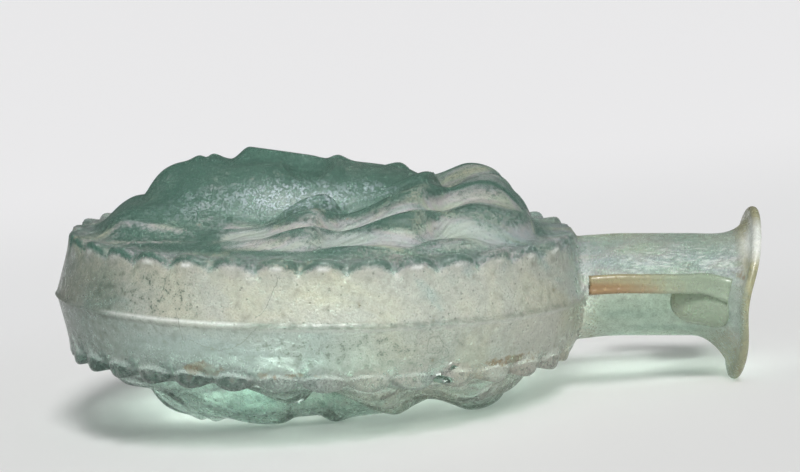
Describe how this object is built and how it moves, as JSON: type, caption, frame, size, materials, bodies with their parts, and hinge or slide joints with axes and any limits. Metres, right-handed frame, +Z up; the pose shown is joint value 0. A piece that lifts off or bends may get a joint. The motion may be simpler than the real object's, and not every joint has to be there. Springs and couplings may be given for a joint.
{
  "type": "glass amphora",
  "caption": "Hollow mould-blown glass flask with a head in relief on each face, a short neck, a flared lip and broken strap handles.",
  "frame": {"origin": "under the middle of the bounding box, on the plane that the flask lies on", "axes": "+X along the flask from its base towards its mouth, +Z up through the upper face, -Y towards the side with the longer handle stub"},
  "size_m": [0.1938, 0.131, 0.076],
  "materials": {
    "flask_glass": "pale blue-green blown glass, weathered and iridescent",
    "handle_glass": "pale green glass strap with tan weathering"
  },
  "bodies": {
    "root": {"flask": "flask_glass", "handle_stub_front": "handle_glass", "handle_stub_back": "handle_glass"}
  },
  "joints": []
}
